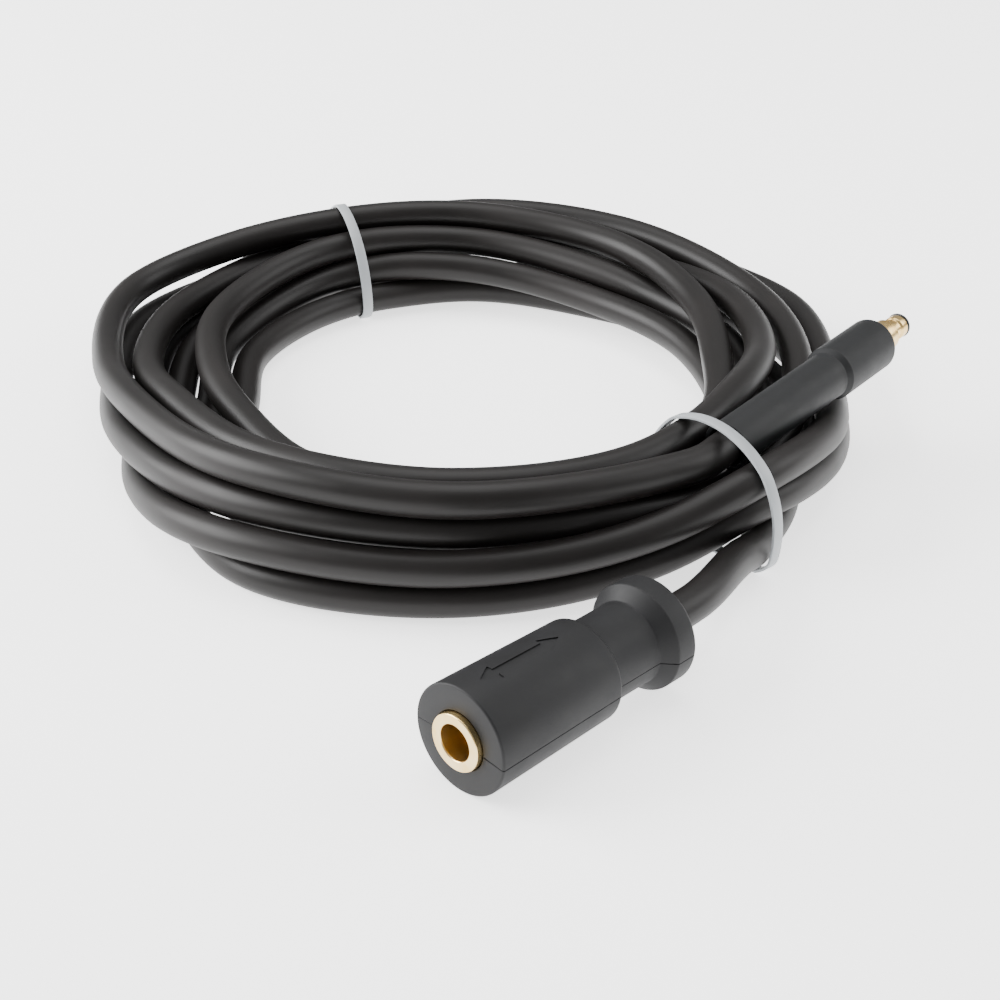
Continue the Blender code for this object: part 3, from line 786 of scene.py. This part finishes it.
def guardProfile():
    tubeRadius = plugEnd["guardDiameter"] / 2
    collar = plugEnd["collarDiameter"] / 2
    mouth = plugEnd["mouthDiameter"] / 2
    stem = plugEnd["neckDiameter"] / 2 + touchingGap
    hole = plugEnd["guardBore"] / 2
    collarStart = plugEnd["guardLength"]
    taperStart = collarStart + plugEnd["collarLength"]
    inside = hoseStart + touchingGap
    snug = hoseRadius + touchingGap
    step, corner, edge = plugEnd["collarStep"], plugEnd["collarStepCorner"], plugEnd["endEdge"]
    return rounded([
        (stem, collarEnd, 0.0), (mouth, collarEnd, 0.0006), (collar, taperStart, plugEnd["taperCorner"]),
        (collar, collarStart + step, corner), (tubeRadius, collarStart - step, corner),
        (tubeRadius, 0.0, edge), (hole, 0.0, edge), (hole, plugEnd["boreStepFrom"], 0.0),
        (snug, plugEnd["boreStepTo"], 0.0), (snug, inside, 0.0), (stem, inside, 0.0),
    ])


def plugProfile():
    stem = plugEnd["neckDiameter"] / 2
    shoulder = plugEnd["shoulderDiameter"] / 2
    head = plugEnd["headDiameter"] / 2
    bore = plugEnd["bore"] / 2
    lip = plugEnd["lip"]
    shoulderStart = collarEnd + touchingGap
    neckStart = shoulderStart + plugEnd["shoulderLength"]
    headStart = neckStart + plugEnd["neckLength"]
    grooveFloor = ringRadius - plugEnd["ringThickness"] / 2 - touchingGap / 2
    grooveEnd = plugTip - lip
    grooveStart = ringAlong - plugEnd["ringThickness"] / 2 - touchingGap / 2
    stemEnd = hoseStart + 2 * touchingGap
    return rounded([
        (bore, plugTip, 0.0003), (grooveFloor + lip, plugTip, 0.0002), (grooveFloor + lip, grooveEnd, 0.0002),
        (grooveFloor, grooveEnd, 0.0), (grooveFloor, grooveStart, 0.0), (head, grooveStart, 0.0002),
        (head, headStart + lip, 0.0005), (stem, headStart, 0.0002), (stem, neckStart, 0.0002),
        (head + touchingGap, neckStart, 0.0002), (shoulder, neckStart - plugEnd["shoulderSlope"], 0.0004),
        (shoulder, shoulderStart, 0.0003), (stem, shoulderStart, 0.0), (stem, stemEnd, 0.0),
        (bore, stemEnd, 0.0),
    ])


guard = turnedPiece("bend_guard_dressed", guardProfile(), evenTurns(128), guardStart, guardHeading,
                    guardRubber)
guard.data.set_sharp_from_angle(angle=radians(40))
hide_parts("bend_guard")
plug = turnedPiece("brass_plug_dressed", plugProfile(), evenTurns(96), guardStart, guardHeading, plugBrass)
plug.data.set_sharp_from_angle(angle=radians(35))
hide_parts("brass_plug")
ringProfile = np.array([(ringRadius + plugEnd["ringThickness"] / 2 * cos(-turn),
                         ringAlong + plugEnd["ringThickness"] / 2 * sin(-turn)) for turn in evenTurns(20)])
oRing = turnedPiece("o_ring_dressed", ringProfile, evenTurns(96), guardStart, guardHeading, ringRubber)
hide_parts("o_ring")
for piece in (guard, plug, oRing):
    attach(piece, hoseBody)
print("plug end made")


# The cable ties

def strandsAt(points, angle):
    outward = np.array([cos(angle), sin(angle), 0.0])
    sideways = np.array([-sin(angle), cos(angle), 0.0])
    found = []
    for offset in (-ties["width"] / 2, 0.0, ties["width"] / 2):
        side = points @ sideways - offset
        for index in np.nonzero(side[:-1] * side[1:] < 0)[0]:
            part = side[index] / (side[index] - side[index + 1])
            place = points[index] + (points[index + 1] - points[index]) * part
            along = points[index + 1] - points[index]
            square = abs(along @ sideways) / np.linalg.norm(along)
            out = place @ outward
            if abs(out - hose["ringRadius"]) < ties["reach"]:
                found.append((out, place[2], hoseRadius / square))
    return found


def strapLine(strands, distance):
    # a line round all strands; a stiff strap bulges a little between them instead of lying flat
    turns = evenTurns(ties["outlinePoints"])
    normals = np.stack([np.cos(turns), np.sin(turns)], 1)
    middle = np.mean([strand[:2] for strand in strands], axis=0)
    reach = np.max([(np.array(strand[:2]) - middle) @ normals.T + strand[2] for strand in strands], axis=0)
    away = np.minimum(turns, 2 * pi - turns)
    weight = np.exp(-0.5 * (away / ties["bulge"]) ** 2)
    spread = np.fft.rfft(weight / weight.sum())
    eased = reach
    for _ in range(ties["bulgeRounds"]):
        eased = np.maximum(reach, np.fft.irfft(np.fft.rfft(eased) * spread, len(turns)))
    weight = np.exp(-0.5 * (away / ties["cornerEase"]) ** 2)
    eased = np.fft.irfft(np.fft.rfft(eased) * np.fft.rfft(weight / weight.sum()), len(turns)) + distance
    eased += max(0.0, float(np.max(reach + distance - eased))) * ties["tautness"]
    slope = (np.roll(eased, -1) - np.roll(eased, 1)) / (turns[2] - turns[0])
    across = np.stack([-normals[:, 1], normals[:, 0]], 1)
    line = middle + normals * eased[:, None] + across * slope[:, None]
    # where it would bulge into the floor, it lies flat on it
    line[:, 1] = np.maximum(line[:, 1], ties["gap"] + ties["thickness"] - distance)
    return line


def tieStrap(name, angle, headTurn):
    strands = strandsAt(route, angle)
    half = ties["width"] / 2
    inner = ties["gap"]
    outer = inner + ties["thickness"]
    edge = ties["edge"]
    # the strap's section, from its inner left corner round: (distance from the hose, place across its width)
    section = [(inner, -half + edge), (inner + edge / 2, -half), (outer - edge, -half),
               (outer - edge * 0.3, -half + edge * 0.3), (outer, -half + edge), (outer, half - edge),
               (outer - edge * 0.3, half - edge * 0.3), (outer - edge, half), (inner + edge / 2, half),
               (inner, half - edge)]
    outward = np.array([cos(angle), sin(angle), 0.0])
    sideways = np.array([-sin(angle), cos(angle), 0.0])
    vertices = []
    for distance, across in section:
        for out, up in strapLine(strands, distance):
            vertices.append(outward * out + np.array([0, 0, up]) + sideways * across + shift)
    count = ties["outlinePoints"]
    faces = []
    uvs = []
    for row in range(len(section)):
        nextRow = (row + 1) % len(section)
        for column in range(count):
            nextColumn = (column + 1) % count
            faces.append((row * count + column, row * count + nextColumn,
                          nextRow * count + nextColumn, nextRow * count + column))
            uvs += [(column, row), (column + 1, row), (column + 1, row + 1), (column, row + 1)]
    strap = addMesh(name, vertices, faces, tieNylon, "strap", uvs)
    work = bmesh.new()
    work.from_mesh(strap.data)
    bmesh.ops.recalc_face_normals(work, faces=work.faces)
    out, up, radius = max(strands, key=lambda one: one[0] * cos(headTurn) + one[1] * sin(headTurn) + one[2])
    depth = radius + ties["gap"] + ties["headHeight"] / 2
    middle = outward * (out + depth * cos(headTurn)) + np.array([0, 0, up + depth * sin(headTurn)]) + shift
    away = outward * cos(headTurn) + np.array([0, 0, sin(headTurn)])
    along = np.cross(sideways, away)
    turn = Matrix((along, sideways, away)).transposed().to_4x4()
    place = Matrix.Translation(Vector(middle)) @ turn
    size = Matrix.Diagonal((ties["headLength"], ties["headWidth"], ties["headHeight"], 1.0))
    head = bmesh.ops.create_cube(work, size=1.0, matrix=place @ size)
    edges = list({edge for vertex in head["verts"] for edge in vertex.link_edges})
    bmesh.ops.bevel(work, geom=edges, offset=ties["headEdge"], segments=3, profile=0.6, affect="EDGES")
    # the cut end of the strap, just past the head
    past = ties["headLength"] / 2 + ties["stubPast"]
    stubPlace = place @ Matrix.Translation(Vector((past, 0, -ties["stubDrop"])))
    stubWidth = ties["width"] - ties["stubNarrower"]
    stubSize = Matrix.Diagonal((ties["stubLength"], stubWidth, ties["thickness"], 1.0))
    bmesh.ops.create_cube(work, size=1.0, matrix=stubPlace @ stubSize)
    work.to_mesh(strap.data)
    work.free()
    strap.data.shade_smooth()
    strap.data.set_sharp_from_angle(angle=radians(40))
    return strap


frontTie = tieStrap("front_cable_tie_dressed", ties["frontAngle"], ties["frontHead"])
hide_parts("front_cable_tie")
backTie = tieStrap("back_cable_tie_dressed", ties["backAngle"], ties["backHead"])
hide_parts("back_cable_tie")
for tie in (frontTie, backTie):
    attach(tie, hoseBody)
print("cable ties made")


# Floor and light

studio = {
    "floorSize": 40.0,
    "floorColour": "#f4f4f4",
    "floorRoughness": 0.9,
    "worldColour": "#ffffff",
    "floorGlow": 2.0,
    "worldStrength": 0.45,
    "lights": (
        # name, place, aim, width, height, watts
        ("left_softbox", (-1.3, -1.1, 0.95), (0, 0, 0.05), 1.8, 1.2, 98.0),
        ("right_softbox", (1.1, 1.4, 1.1), (0, 0, 0.05), 1.4, 1.2, 24.0),
        ("top_softbox", (-0.3, 0.4, 2.2), (0, 0, 0.0), 2.0, 2.0, 46.0),
    ),
}

floorMesh = bpy.data.meshes.new("floor")
work = bmesh.new()
bmesh.ops.create_grid(work, x_segments=1, y_segments=1, size=studio["floorSize"])
work.to_mesh(floorMesh)
work.free()
floor = bpy.data.objects.new("floor", floorMesh)
bpy.context.scene.collection.objects.link(floor)
floorMaterial, _, floorShader = newMaterial("matte_paper_sweep")
floorShader.inputs["Base Color"].default_value = linearColour(studio["floorColour"])
floorShader.inputs["Roughness"].default_value = studio["floorRoughness"]
floorShader.inputs["Emission Color"].default_value = linearColour(studio["floorColour"])
floorShader.inputs["Emission Strength"].default_value = studio["floorGlow"]
floorMesh.materials.append(floorMaterial)

world = bpy.data.worlds.new("studio")
world.use_nodes = True
world.node_tree.nodes["Background"].inputs["Color"].default_value = linearColour(studio["worldColour"])
world.node_tree.nodes["Background"].inputs["Strength"].default_value = studio["worldStrength"]
bpy.context.scene.world = world

for name, place, aim, width, height, watts in studio["lights"]:
    lightData = bpy.data.lights.new(name, "AREA")
    lightData.shape = "RECTANGLE"
    lightData.size = width
    lightData.size_y = height
    lightData.energy = watts
    light = bpy.data.objects.new(name, lightData)
    light.location = place
    light.rotation_euler = (Vector(aim) - Vector(place)).to_track_quat("-Z", "Y").to_euler()
    bpy.context.scene.collection.objects.link(light)
print("floor and lights made")
